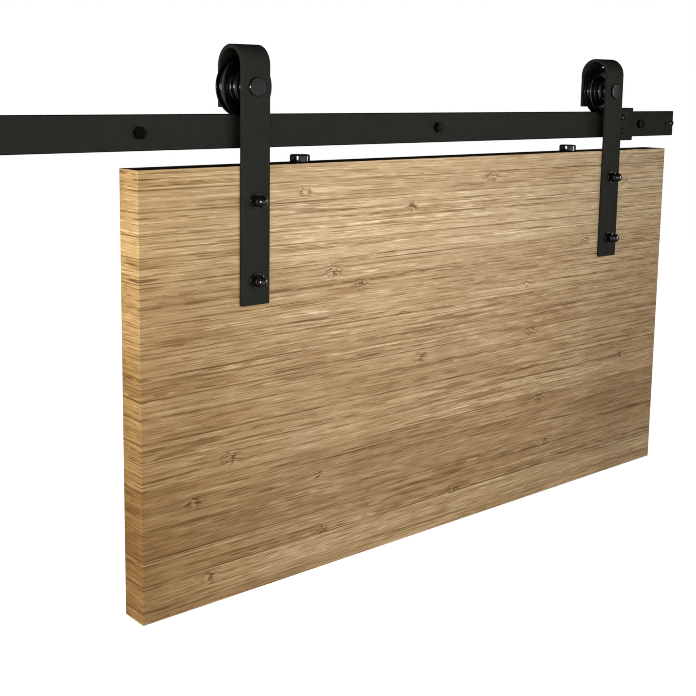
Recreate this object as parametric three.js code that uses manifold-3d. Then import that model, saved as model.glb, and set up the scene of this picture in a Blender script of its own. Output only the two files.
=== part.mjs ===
// Sliding barn door hardware: a flat-bar rail on wall standoffs with clamp-on end stops, two J-strap
// hangers with grooved wheels on ball bearings, and the solid wood panel that the hangers carry.
// Millimetres. X runs along the rail to the right, Y points into the wall and Z is up.
// The origin is on the wall plane, at the centre of the middle standoff's seat.
// The model stands at the closed end of its travel, with the right wheel against the right stop.
import * as THREE from "three";
import { mergeVertices } from "three/addons/utils/BufferGeometryUtils.js";
import Module from "manifold-3d";

const wasm = await Module();
wasm.setup();

// ---------------------------------------------------------------- driving dimensions
const SEAT = 0.2; // gap left between faces that bear on each other
const FIT = 0.4; // radial clearance of a shank in its hole

const RAIL_LENGTH = 2012;
const RAIL_HEIGHT = 40;
const RAIL_THICKNESS = 6;
const RAIL_TO_WALL = 37;
const FIXING_PITCH = 456;
const FIXING_COUNT = 5;
const SPLICE_HOLE_RADIUS = 3.6;
const SPLICE_HOLE_INSET = 22;
const END_SCREW_INSET = 5;
const END_SCREW = { headRadius: 4.4, headHeight: 2.6, shankRadius: 2 };

const STANDOFF_RADIUS = 11;
const LAG_SHANK_RADIUS = 4;
const LAG_HEX_FLATS = 13;
const LAG_HEX_HEIGHT = 5.5;
const LAG_LENGTH_IN_WALL = 45;
const LAG_POINT_LENGTH = 8;

const STOP_LENGTH = 43;
const STOP_INSET = 117; // from the end of the rail to the stop's outer face
const STOP_LIP = 5.5; // how far the sleeve stands above and below the rail
const STOP_WALL = 3.7;
const STOP_SLOT_GAP = 0.3;
const STOP_SCREW_FROM_BUMPER = 16;
const STOP_SCREW_SPREAD = 21;
const STOP_SCREW = { headRadius: 4.8, headHeight: 2.8, shankRadius: 2.6 };
const BUMPER_THICKNESS = 6;

const TREAD_RADIUS = 31;
const FLANGE_RADIUS = 36;
const WHEEL_WIDTH = 12;
const GROOVE_FLOOR_WIDTH = 7.4;
const GROOVE_MOUTH_WIDTH = 8.8;
const RECESS_OUTER_RADIUS = 29;
const RECESS_INNER_RADIUS = 25.4;
const WEB_THICKNESS = 5;
const HUB_RADIUS = 21;
const HUB_WIDTH = 23;
const HUB_CHAMFER = { radial: 2.8, axial: 2.4 };
const FLANGE_CHAMFER = 1;

const BEARING_OUTER_RADIUS = 16;
const BEARING_WIDTH = 10;
const BEARING_RING_WALL = 1.7;
const BALL_RADIUS = 2.6;
const BALL_COUNT = 7;
const SHIELD_THICKNESS = 0.8;
const SHIELD_GAP = 0.3; // between a shield and the inner ring
const CAGE_HALF_SECTION = { radial: 0.8, axial: 1 };
const AXLE_RADIUS = 6;
const AXLE_HEAD_RADIUS = 11;
const AXLE_HEAD_HEIGHT = 3;
const AXLE_NUT_FLATS = 18;
const AXLE_NUT_HEIGHT = 6.5;
const SPACER_FLANGE_RADIUS = 19.5;
const SPACER_FLANGE_THICKNESS = 4.5;
const SPACER_NECK_RADIUS = 8.6;

const STRAP_WIDTH = 40;
const STRAP_THICKNESS = 5;
const STRAP_GAP = 40; // clear space between the front leg and the back leg
const STRAP_REACH_ON_DOOR = 164;
const STRAP_BEND_ABOVE_AXLE = 23.6;
const BACK_LEG_BELOW_AXLE = 24.2;
const HANGER_SPACING = 673.5;
const DOOR_BOLT_DROPS = [40.4, 134.5]; // below the top of the door

const DOOR_WIDTH = 973;
const DOOR_HEIGHT = 520;
const DOOR_THICKNESS = 39.5;
const DOOR_BELOW_RAIL = 19.5;
const DOOR_LEFT_OVERHANG = 153; // from the left edge of the door to the left hanger

const BOLT_SHANK_RADIUS = 4;
const BOLT_HEAD_RADIUS = 11;
const BOLT_HEAD_HEIGHT = 3.8;
const WASHER_RADIUS = 9.5;
const WASHER_THICKNESS = 2.5;
const CAP_NUT_FLATS = 14;
const CAP_NUT_HEX_HEIGHT = 7.5;
const CAP_NUT_DOME_RADIUS = 7;
const CAP_NUT_DOME_STRAIGHT = 2.5;
const CAP_NUT_DOME_HEIGHT = 6;

const DISC_RADIUS = 12.3;
const DISC_HEIGHT = 9.5;
const DISC_CHAMFER = 1.2;
const DISC_X_FROM_HANGER = [83, -77.5];
const DISC_SCREW = { headRadius: 4.4, headHeight: 3, shankRadius: 2.2 };
const DISC_PILOT_DEPTH = 32;
const DISC_SCREW_SHORT_OF_PILOT = 4;

// Outlines of the screw heads, as shares of the head's radius and height.
const BUTTON_OUTLINE = [
  [0.55, 1],
  [0.87, 0.65],
  [1, 0],
];
const BUTTON_SOCKET = { flats: 0.9, floor: 0.4 };
const CARRIAGE_OUTLINE = [
  [1, 0],
  [0.8, 0.75],
  [0.45, 1],
];
const HEX_CHAMFER_SLOPE = 0.6;
const HEX_FACE_BEYOND_FLATS = 0.2; // how far the face's rim reaches past the flats

// ---------------------------------------------------------------- worked-out places
const RAIL_BACK_Y = -RAIL_TO_WALL;
const RAIL_FRONT_Y = RAIL_BACK_Y - RAIL_THICKNESS;
const RAIL_MID_Y = (RAIL_BACK_Y + RAIL_FRONT_Y) / 2;
const RAIL_TOP_Z = RAIL_HEIGHT / 2;
const STOP_TOP_Z = RAIL_TOP_Z + STOP_LIP;
const AXLE_Z = RAIL_TOP_Z + SEAT + TREAD_RADIUS;
const STRAP_BACK_OF_FRONT_LEG_Y = RAIL_MID_Y - STRAP_GAP / 2;
const STRAP_FRONT_Y = STRAP_BACK_OF_FRONT_LEG_Y - STRAP_THICKNESS;
const STRAP_REAR_Y = RAIL_MID_Y + STRAP_GAP / 2 + STRAP_THICKNESS;
const DOOR_TOP_Z = -RAIL_TOP_Z - DOOR_BELOW_RAIL;
const DOOR_FRONT_Y = STRAP_BACK_OF_FRONT_LEG_Y + SEAT;
const DOOR_BACK_Y = DOOR_FRONT_Y + DOOR_THICKNESS;
// The flange meets the bumper's upper corner, below the axle's height.
const BUMPER_FACE_X = RAIL_LENGTH / 2 - STOP_INSET - STOP_LENGTH - BUMPER_THICKNESS;
const FLANGE_REACH = Math.sqrt(FLANGE_RADIUS ** 2 - (AXLE_Z - STOP_TOP_Z) ** 2);
const RIGHT_HANGER_X = BUMPER_FACE_X - SEAT - FLANGE_REACH;
const LEFT_HANGER_X = RIGHT_HANGER_X - HANGER_SPACING;
const DOOR_LEFT_X = LEFT_HANGER_X - DOOR_LEFT_OVERHANG;

// ---------------------------------------------------------------- finishes
const finish = (color, roughness, metalness) =>
  new THREE.MeshStandardMaterial({ color, roughness, metalness });
const SATIN_BLACK = finish(0x2b2c2a, 0.55, 0.4);
const BLACK_OXIDE = finish(0x1c1c1b, 0.4, 0.5);
const GLOSS_BLACK = finish(0x121312, 0.2, 0.4);
const WHEEL_BLACK = finish(0x101110, 0.25, 0.1);
const RUBBER = finish(0x1a1a1a, 0.9, 0);
const ZINC = finish(0x8f9296, 0.4, 0.9);
const BEARING_STEEL = finish(0xb4b7ba, 0.25, 1);
const WOOD = finish(0xc7ae86, 0.7, 0);

// ---------------------------------------------------------------- geometry helpers
function solidOf(geometry) {
  const bare = geometry.clone();
  bare.deleteAttribute("normal");
  bare.deleteAttribute("uv");
  const merged = mergeVertices(bare, 1e-4);
  return new wasm.Manifold(
    new wasm.Mesh({
      numProp: 3,
      vertProperties: merged.attributes.position.array,
      triVerts: new Uint32Array(merged.index.array),
    }),
  );
}

function geometryOf(solid) {
  const mesh = solid.getMesh();
  const geometry = new THREE.BufferGeometry();
  geometry.setAttribute("position", new THREE.BufferAttribute(mesh.vertProperties, 3));
  geometry.setIndex(new THREE.BufferAttribute(mesh.triVerts, 1));
  geometry.computeVertexNormals();
  return geometry;
}

const join = (...parts) => geometryOf(parts.map(solidOf).reduce((a, b) => a.add(b)));
const common = (a, b) => geometryOf(solidOf(a).intersect(solidOf(b)));
const cut = (body, ...tools) =>
  geometryOf(tools.map(solidOf).reduce((a, b) => a.subtract(b), solidOf(body)));

// A box from its lowest to its highest corner.
function box(low, high) {
  const size = high.map((value, i) => value - low[i]);
  const geometry = new THREE.BoxGeometry(...size);
  return geometry.translate(...low.map((value, i) => value + size[i] / 2));
}

// A cylinder along Y, from y0 to y1.
function rod(radius, y0, y1, segments = 20) {
  const geometry = new THREE.CylinderGeometry(radius, radius, y1 - y0, segments);
  return geometry.translate(0, (y0 + y1) / 2, 0);
}

// A solid of revolution about Y; the profile lists [radius, y] and rises on its outside.
function turned(profile, segments = 20) {
  return new THREE.LatheGeometry(
    profile.map(([radius, y]) => new THREE.Vector2(radius, y)),
    segments,
  );
}

// A ring about Y.
function ring(inner, outer, y0, y1, segments = 20) {
  const profile = [
    [inner, y0],
    [outer, y0],
    [outer, y1],
    [inner, y1],
    [inner, y0],
  ];
  return turned(profile, segments);
}

// A hexagonal prism along Y, with a flat on top.
function hexagon(flats, y0, y1) {
  return rod(flats / Math.sqrt(3), y0, y1, 6).rotateY(Math.PI / 6);
}

// A hexagon whose corners are turned away at its lower Y end.
function chamferedHexagon(flats, y0, y1) {
  const faceRadius = flats / 2 + HEX_FACE_BEYOND_FLATS;
  const clear = flats / Math.sqrt(3) + 1;
  const turnedOff = turned([
    [0, y0],
    [faceRadius, y0],
    [clear, y0 + (clear - faceRadius) * HEX_CHAMFER_SLOPE],
    [clear, y1 + 1],
    [0, y1 + 1],
  ]);
  return common(hexagon(flats, y0, y1), turnedOff);
}

// A button-head screw with a hexagon socket: the head's seat is at y = 0 and it faces -Y.
function buttonScrew({ headRadius, headHeight, shankRadius }, length) {
  const outline = BUTTON_OUTLINE.map(([radius, height]) => [headRadius * radius, -headHeight * height]);
  const shank = [
    [shankRadius, 0],
    [shankRadius, length],
    [0, length],
  ];
  const body = turned([[0, -headHeight], ...outline, ...shank], 16);
  const socketFloor = -headHeight * BUTTON_SOCKET.floor;
  return cut(body, hexagon(headRadius * BUTTON_SOCKET.flats, -headHeight - 1, socketFloor));
}

function piece(name, geometry, material, x = 0, y = 0, z = 0) {
  const mesh = new THREE.Mesh(geometry, material);
  mesh.name = name;
  mesh.position.set(x, y, z);
  return mesh;
}

function assembly(...children) {
  const group = new THREE.Group();
  group.add(...children);
  return group;
}

// ---------------------------------------------------------------- track
function fixingPlaces() {
  const first = (-FIXING_PITCH * (FIXING_COUNT - 1)) / 2;
  return Array.from({ length: FIXING_COUNT }, (_, i) => first + i * FIXING_PITCH);
}

function railGeometry() {
  const half = RAIL_LENGTH / 2;
  const bar = box([-half, RAIL_FRONT_Y, -RAIL_TOP_Z], [half, RAIL_BACK_Y, RAIL_TOP_Z]);
  const drill = (radius, x) =>
    rod(radius, RAIL_FRONT_Y - 1, RAIL_BACK_Y + 1, 16).translate(x, 0, 0);
  const holes = fixingPlaces().map((x) => drill(LAG_SHANK_RADIUS + FIT, x));
  for (const side of [-1, 1]) {
    holes.push(drill(SPLICE_HOLE_RADIUS, side * (half - SPLICE_HOLE_INSET)));
    holes.push(drill(END_SCREW.shankRadius + FIT, side * (half - END_SCREW_INSET)));
  }
  return cut(bar, ...holes);
}

function lagScrewGeometry() {
  const seat = RAIL_FRONT_Y - SEAT;
  const head = chamferedHexagon(LAG_HEX_FLATS, seat - LAG_HEX_HEIGHT, seat);
  const shank = turned(
    [
      [0, seat - 1],
      [LAG_SHANK_RADIUS, seat - 1],
      [LAG_SHANK_RADIUS, LAG_LENGTH_IN_WALL - LAG_POINT_LENGTH],
      [0, LAG_LENGTH_IN_WALL],
    ],
    16,
  );
  return join(head, shank);
}

function track() {
  const group = assembly(piece("rail", railGeometry(), SATIN_BLACK));
  const standoff = ring(LAG_SHANK_RADIUS + FIT, STANDOFF_RADIUS, RAIL_BACK_Y + SEAT, 0, 24);
  const lagScrew = lagScrewGeometry();
  fixingPlaces().forEach((x, i) => {
    group.add(piece(`standoff_${i + 1}`, standoff, SATIN_BLACK, x));
    group.add(piece(`lag_screw_${i + 1}`, lagScrew, BLACK_OXIDE, x));
  });
  const endScrew = buttonScrew(END_SCREW, RAIL_THICKNESS);
  for (const [side, name] of [[-1, "left"], [1, "right"]]) {
    const x = side * (RAIL_LENGTH / 2 - END_SCREW_INSET);
    group.add(piece(`rail_end_screw_${name}`, endScrew, GLOSS_BLACK, x, RAIL_FRONT_Y - SEAT));
  }
  return group;
}

// A block with a slot that the rail passes through, from x0 to x1.
function railSleeve(x0, x1) {
  const slotFront = RAIL_FRONT_Y - STOP_SLOT_GAP;
  const slotBack = RAIL_BACK_Y + STOP_SLOT_GAP;
  const slotHalf = RAIL_TOP_Z + STOP_SLOT_GAP;
  const block = box([x0, slotFront - STOP_WALL, -STOP_TOP_Z], [x1, slotBack + STOP_WALL, STOP_TOP_Z]);
  return cut(block, box([x0 - 1, slotFront, -slotHalf], [x1 + 1, slotBack, slotHalf]));
}

// One stop, with its bumper on the side that faces the door: side is -1 at the left end.
function endStop(side, name) {
  const face = side * BUMPER_FACE_X;
  const inner = face + side * (BUMPER_THICKNESS + SEAT);
  const outer = face + side * (BUMPER_THICKNESS + STOP_LENGTH);
  const span = (a, b) => [Math.min(a, b), Math.max(a, b)];
  const frontY = RAIL_FRONT_Y - STOP_SLOT_GAP - STOP_WALL;
  const screwX = inner + side * STOP_SCREW_FROM_BUMPER;
  const screwZ = STOP_SCREW_SPREAD / 2;
  const tapped = [-screwZ, screwZ].map((z) =>
    rod(STOP_SCREW.shankRadius + FIT, frontY - 1, RAIL_FRONT_Y, 12).translate(screwX, 0, z),
  );
  const screw = buttonScrew(STOP_SCREW, STOP_WALL + STOP_SLOT_GAP);
  return assembly(
    piece(`stop_block_${name}`, cut(railSleeve(...span(inner, outer)), ...tapped), SATIN_BLACK),
    piece(`stop_bumper_${name}`, railSleeve(...span(face, inner - side * SEAT)), RUBBER),
    piece(`stop_screw_${name}_upper`, screw, GLOSS_BLACK, screwX, frontY - SEAT, screwZ),
    piece(`stop_screw_${name}_lower`, screw, GLOSS_BLACK, screwX, frontY - SEAT, -screwZ),
  );
}

// ---------------------------------------------------------------- wheel and bearing, centred on its axle
function wheelGeometry() {
  const face = WHEEL_WIDTH / 2;
  const hub = HUB_WIDTH / 2;
  const web = WEB_THICKNESS / 2;
  const bore = BEARING_OUTER_RADIUS + SEAT;
  // The half of the outline on the front side, from the bore out to the groove.
  const front = [
    [bore, -hub],
    [HUB_RADIUS - HUB_CHAMFER.radial, -hub],
    [HUB_RADIUS, -hub + HUB_CHAMFER.axial],
    [HUB_RADIUS, -web],
    [RECESS_INNER_RADIUS, -web],
    [RECESS_OUTER_RADIUS, -face],
    [FLANGE_RADIUS - FLANGE_CHAMFER, -face],
    [FLANGE_RADIUS, -face + FLANGE_CHAMFER],
    [FLANGE_RADIUS, -GROOVE_MOUTH_WIDTH / 2],
    [TREAD_RADIUS, -GROOVE_FLOOR_WIDTH / 2],
  ];
  const back = front.map(([radius, y]) => [radius, -y]).reverse();
  return turned([...front, ...back, front[0]], 36);
}

// The outer ring carries the two shields, which stop short of the inner ring.
function bearingOuterGeometry() {
  const half = BEARING_WIDTH / 2;
  const race = BEARING_OUTER_RADIUS - BEARING_RING_WALL;
  const shieldRadius = AXLE_RADIUS + SEAT + BEARING_RING_WALL + SHIELD_GAP;
  const shieldInner = half - SHIELD_THICKNESS;
  return turned(
    [
      [shieldRadius, -half],
      [BEARING_OUTER_RADIUS, -half],
      [BEARING_OUTER_RADIUS, half],
      [shieldRadius, half],
      [shieldRadius, shieldInner],
      [race, shieldInner],
      [race, -shieldInner],
      [shieldRadius, -shieldInner],
      [shieldRadius, -half],
    ],
    24,
  );
}

function ballCageGeometry() {
  const inner = AXLE_RADIUS + SEAT + BEARING_RING_WALL;
  const pitch = (inner + BEARING_OUTER_RADIUS - BEARING_RING_WALL) / 2;
  const { radial, axial } = CAGE_HALF_SECTION;
  const cage = ring(pitch - radial, pitch + radial, -axial, axial, 14);
  const balls = Array.from({ length: BALL_COUNT }, (_, i) => {
    const angle = (2 * Math.PI * i) / BALL_COUNT;
    const ball = new THREE.SphereGeometry(BALL_RADIUS, 6, 4);
    return ball.translate(pitch * Math.cos(angle), 0, pitch * Math.sin(angle));
  });
  return join(cage, ...balls);
}

function wheelAssembly(name) {
  return assembly(
    piece(`wheel_${name}`, wheelGeometry(), WHEEL_BLACK),
    piece(`bearing_outer_ring_${name}`, bearingOuterGeometry(), BEARING_STEEL),
    piece(`bearing_balls_${name}`, ballCageGeometry(), BEARING_STEEL),
  );
}

// ---------------------------------------------------------------- hanger, with x = 0 on its centre line
function strapGeometry() {
  const bendZ = AXLE_Z + STRAP_BEND_ABOVE_AXLE;
  const bottomZ = DOOR_TOP_Z - STRAP_REACH_ON_DOOR;
  const backBottomZ = AXLE_Z - BACK_LEG_BELOW_AXLE;
  const inner = STRAP_GAP / 2;
  const outer = inner + STRAP_THICKNESS;
  const outline = new THREE.Shape();
  outline.moveTo(STRAP_FRONT_Y, bottomZ);
  outline.lineTo(STRAP_FRONT_Y, bendZ);
  outline.absarc(RAIL_MID_Y, bendZ, outer, Math.PI, 0, true);
  outline.lineTo(STRAP_REAR_Y, backBottomZ);
  outline.lineTo(STRAP_REAR_Y - STRAP_THICKNESS, backBottomZ);
  outline.lineTo(STRAP_REAR_Y - STRAP_THICKNESS, bendZ);
  outline.absarc(RAIL_MID_Y, bendZ, inner, 0, Math.PI, false);
  outline.lineTo(STRAP_BACK_OF_FRONT_LEG_Y, bottomZ);
  const bar = new THREE.ExtrudeGeometry(outline, {
    depth: STRAP_WIDTH,
    bevelEnabled: false,
    curveSegments: 9,
  });
  // The outline's axes become Y and Z, and its depth runs along X.
  const [x, y, z] = [new THREE.Vector3(1, 0, 0), new THREE.Vector3(0, 1, 0), new THREE.Vector3(0, 0, 1)];
  bar.applyMatrix4(new THREE.Matrix4().makeBasis(y, z, x));
  bar.translate(-STRAP_WIDTH / 2, 0, 0);
  const axleHole = rod(AXLE_RADIUS + FIT, STRAP_FRONT_Y - 1, STRAP_REAR_Y + 1).translate(0, 0, AXLE_Z);
  const boltHoles = DOOR_BOLT_DROPS.map((drop) =>
    rod(BOLT_SHANK_RADIUS + FIT, STRAP_FRONT_Y - 1, DOOR_FRONT_Y, 16).translate(0, 0, DOOR_TOP_Z - drop),
  );
  return cut(bar, axleHole, ...boltHoles);
}

function axleBoltGeometry() {
  const seat = STRAP_FRONT_Y - SEAT;
  const end = STRAP_REAR_Y + SEAT + AXLE_NUT_HEIGHT + 1;
  return turned(
    [
      [0, seat - AXLE_HEAD_HEIGHT],
      [AXLE_HEAD_RADIUS - 1, seat - AXLE_HEAD_HEIGHT],
      [AXLE_HEAD_RADIUS, seat - AXLE_HEAD_HEIGHT + 1],
      [AXLE_HEAD_RADIUS, seat],
      [AXLE_RADIUS, seat],
      [AXLE_RADIUS, end - 1],
      [AXLE_RADIUS - 1, end],
      [0, end],
    ],
    24,
  );
}

function axleNutGeometry() {
  const seat = STRAP_REAR_Y + SEAT;
  const chamfered = chamferedHexagon(AXLE_NUT_FLATS, -AXLE_NUT_HEIGHT, 0).rotateZ(Math.PI);
  const nut = chamfered.translate(0, seat, 0);
  return cut(nut, rod(AXLE_RADIUS + SEAT, seat - 1, seat + AXLE_NUT_HEIGHT + 1));
}

// A flanged spacer between the front leg and the bearing's inner ring; the rear one is its mirror image.
function spacerGeometry() {
  const leg = STRAP_BACK_OF_FRONT_LEG_Y - RAIL_MID_Y + SEAT;
  const bearing = -BEARING_WIDTH / 2 - SEAT;
  const bore = AXLE_RADIUS + SEAT;
  return turned(
    [
      [bore, leg],
      [SPACER_FLANGE_RADIUS - 0.6, leg],
      [SPACER_FLANGE_RADIUS, leg + 0.6],
      [SPACER_FLANGE_RADIUS, leg + SPACER_FLANGE_THICKNESS],
      [SPACER_NECK_RADIUS, leg + SPACER_FLANGE_THICKNESS],
      [SPACER_NECK_RADIUS - 1, bearing],
      [bore, bearing],
      [bore, leg],
    ],
    24,
  );
}

function doorBoltGeometry() {
  const seat = DOOR_BACK_Y + SEAT;
  const nutSeat = STRAP_FRONT_Y - SEAT - WASHER_THICKNESS - SEAT;
  const tip = nutSeat - CAP_NUT_HEX_HEIGHT - 1;
  const shank = [
    [0, tip],
    [BOLT_SHANK_RADIUS, tip],
    [BOLT_SHANK_RADIUS, seat],
  ];
  const head = CARRIAGE_OUTLINE.map(([radius, height]) => [
    BOLT_HEAD_RADIUS * radius,
    seat + BOLT_HEAD_HEIGHT * height,
  ]);
  return turned([...shank, ...head, [0, seat + BOLT_HEAD_HEIGHT]], 18);
}

// A domed nut whose open end seats at y = 0; it points towards -Y.
function capNutGeometry() {
  const hexEnd = -CAP_NUT_HEX_HEIGHT;
  const straightEnd = hexEnd - CAP_NUT_DOME_STRAIGHT;
  const dome = [];
  for (const degrees of [0, 30, 60, 90]) {
    const angle = THREE.MathUtils.degToRad(degrees);
    dome.push([
      CAP_NUT_DOME_RADIUS * Math.sin(angle),
      straightEnd - CAP_NUT_DOME_HEIGHT * Math.cos(angle),
    ]);
  }
  const cap = turned([...dome, [CAP_NUT_DOME_RADIUS, -2], [0, -2]], 16);
  const shell = join(chamferedHexagon(CAP_NUT_FLATS, hexEnd, 0), cap);
  return cut(shell, rod(BOLT_SHANK_RADIUS + FIT, hexEnd - 1.5, 1, 12));
}

function hanger(name) {
  const strap = strapGeometry();
  const spacer = spacerGeometry();
  const innerRing = ring(
    AXLE_RADIUS + SEAT,
    AXLE_RADIUS + SEAT + BEARING_RING_WALL,
    -BEARING_WIDTH / 2,
    BEARING_WIDTH / 2,
    24,
  );
  const rearSpacer = piece(`rear_spacer_${name}`, spacer, GLOSS_BLACK, 0, RAIL_MID_Y, AXLE_Z);
  rearSpacer.rotation.z = Math.PI;
  const group = assembly(
    piece(`hanger_strap_${name}`, strap, SATIN_BLACK),
    piece(`axle_bolt_${name}`, axleBoltGeometry(), GLOSS_BLACK, 0, 0, AXLE_Z),
    piece(`axle_nut_${name}`, axleNutGeometry(), SATIN_BLACK, 0, 0, AXLE_Z),
    piece(`front_spacer_${name}`, spacer, GLOSS_BLACK, 0, RAIL_MID_Y, AXLE_Z),
    rearSpacer,
    piece(`bearing_inner_ring_${name}`, innerRing, BEARING_STEEL, 0, RAIL_MID_Y, AXLE_Z),
  );
  const washer = ring(BOLT_SHANK_RADIUS + FIT, WASHER_RADIUS, -WASHER_THICKNESS, 0);
  const washerSeat = STRAP_FRONT_Y - SEAT;
  const nutSeat = washerSeat - WASHER_THICKNESS - SEAT;
  ["upper", "lower"].forEach((level, i) => {
    const z = DOOR_TOP_Z - DOOR_BOLT_DROPS[i];
    group.add(piece(`door_bolt_${name}_${level}`, doorBoltGeometry(), ZINC, 0, 0, z));
    group.add(piece(`bolt_washer_${name}_${level}`, washer, GLOSS_BLACK, 0, washerSeat, z));
    group.add(piece(`cap_nut_${name}_${level}`, capNutGeometry(), GLOSS_BLACK, 0, nutSeat, z));
  });
  return group;
}

// ---------------------------------------------------------------- door panel and anti-jump discs
const HANGERS = [
  { name: "left", x: LEFT_HANGER_X, discX: LEFT_HANGER_X + DISC_X_FROM_HANGER[0] },
  { name: "right", x: RIGHT_HANGER_X, discX: RIGHT_HANGER_X + DISC_X_FROM_HANGER[1] },
];

function doorGeometry() {
  const panel = box(
    [DOOR_LEFT_X, DOOR_FRONT_Y, DOOR_TOP_Z - DOOR_HEIGHT],
    [DOOR_LEFT_X + DOOR_WIDTH, DOOR_BACK_Y, DOOR_TOP_Z],
  );
  const holes = [];
  for (const { x, discX } of HANGERS) {
    for (const drop of DOOR_BOLT_DROPS) {
      const hole = rod(BOLT_SHANK_RADIUS + FIT, DOOR_FRONT_Y - 1, DOOR_BACK_Y + 1, 16);
      holes.push(hole.translate(x, 0, DOOR_TOP_Z - drop));
    }
    const pilot = upright(rod(DISC_SCREW.shankRadius + FIT, -DISC_PILOT_DEPTH, 1, 10));
    holes.push(pilot.translate(discX, RAIL_MID_Y, DOOR_TOP_Z));
  }
  return cut(panel, ...holes);
}

// Turns a shape made along Y so that its +Y end points up.
function upright(geometry) {
  return geometry.rotateX(Math.PI / 2);
}

function antiJumpDisc(name, x) {
  const bottom = SEAT;
  const top = SEAT + DISC_HEIGHT;
  const boreRadius = DISC_SCREW.shankRadius + FIT;
  const counterboreRadius = DISC_SCREW.headRadius + FIT;
  const counterboreZ = top - DISC_SCREW.headHeight - 1;
  const disc = turned(
    [
      [boreRadius, bottom],
      [DISC_RADIUS, bottom],
      [DISC_RADIUS, top - DISC_CHAMFER],
      [DISC_RADIUS - DISC_CHAMFER, top],
      [counterboreRadius, top],
      [counterboreRadius, counterboreZ],
      [boreRadius, counterboreZ],
      [boreRadius, bottom],
    ],
    24,
  );
  const screwLength = counterboreZ + DISC_PILOT_DEPTH - DISC_SCREW_SHORT_OF_PILOT;
  const screw = buttonScrew(DISC_SCREW, screwLength).rotateX(-Math.PI / 2);
  return assembly(
    piece(`anti_jump_disc_${name}`, upright(disc), GLOSS_BLACK, x, RAIL_MID_Y, DOOR_TOP_Z),
    piece(`disc_screw_${name}`, screw, ZINC, x, RAIL_MID_Y, DOOR_TOP_Z + counterboreZ + SEAT),
  );
}

// ---------------------------------------------------------------- the whole assembly
const barnDoorHardware = assembly(
  track(),
  endStop(-1, "left"),
  endStop(1, "right"),
  piece("door_panel", doorGeometry(), WOOD),
);
for (const { name, x, discX } of HANGERS) {
  const hangerGroup = hanger(name);
  hangerGroup.position.x = x;
  const wheelGroup = wheelAssembly(name);
  wheelGroup.position.set(x, RAIL_MID_Y, AXLE_Z);
  barnDoorHardware.add(hangerGroup, wheelGroup, antiJumpDisc(name, discX));
}

export default barnDoorHardware;
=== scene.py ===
"""Looks of the sliding barn door hardware: finely rounded metal pieces and the wooden panel.

The CAD frame: X along the rail, Y into the wall, Z up. Places and boxes are in metres. Profiles, the
named sizes of the pieces and the materials' patterns are in millimetres, as the parts are drawn.
"""

import math
import random

import bmesh
import bpy
from mathutils import Matrix, Vector


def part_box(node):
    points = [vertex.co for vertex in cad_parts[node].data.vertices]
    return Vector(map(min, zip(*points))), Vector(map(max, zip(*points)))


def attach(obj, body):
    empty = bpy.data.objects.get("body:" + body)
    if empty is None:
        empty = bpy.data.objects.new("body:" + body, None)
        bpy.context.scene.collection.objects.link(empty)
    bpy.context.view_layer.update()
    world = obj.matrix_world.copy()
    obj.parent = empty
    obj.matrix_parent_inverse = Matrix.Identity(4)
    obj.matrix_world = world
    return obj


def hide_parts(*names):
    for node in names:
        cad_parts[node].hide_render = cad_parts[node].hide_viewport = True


MM = 0.001
SIDES = ("left", "right")
LEVELS = ("upper", "lower")
SMOOTH_ANGLE = math.radians(32)
EDGE_LEAN = 0.02  # how far off square a face's normal is before the face counts as part of an edge
WELD = 1e-7  # vertices closer than this are one (m)
TO_FRONT = Vector((0, -1, 0))
TO_RIGHT = Vector((1, 0, 0))

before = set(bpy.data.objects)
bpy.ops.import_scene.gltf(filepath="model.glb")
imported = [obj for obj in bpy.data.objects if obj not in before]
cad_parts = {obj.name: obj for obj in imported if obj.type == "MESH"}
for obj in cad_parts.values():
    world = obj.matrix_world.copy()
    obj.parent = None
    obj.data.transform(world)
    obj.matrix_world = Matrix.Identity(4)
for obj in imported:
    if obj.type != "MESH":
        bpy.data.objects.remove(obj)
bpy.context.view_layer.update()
random.seed(11)


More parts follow.
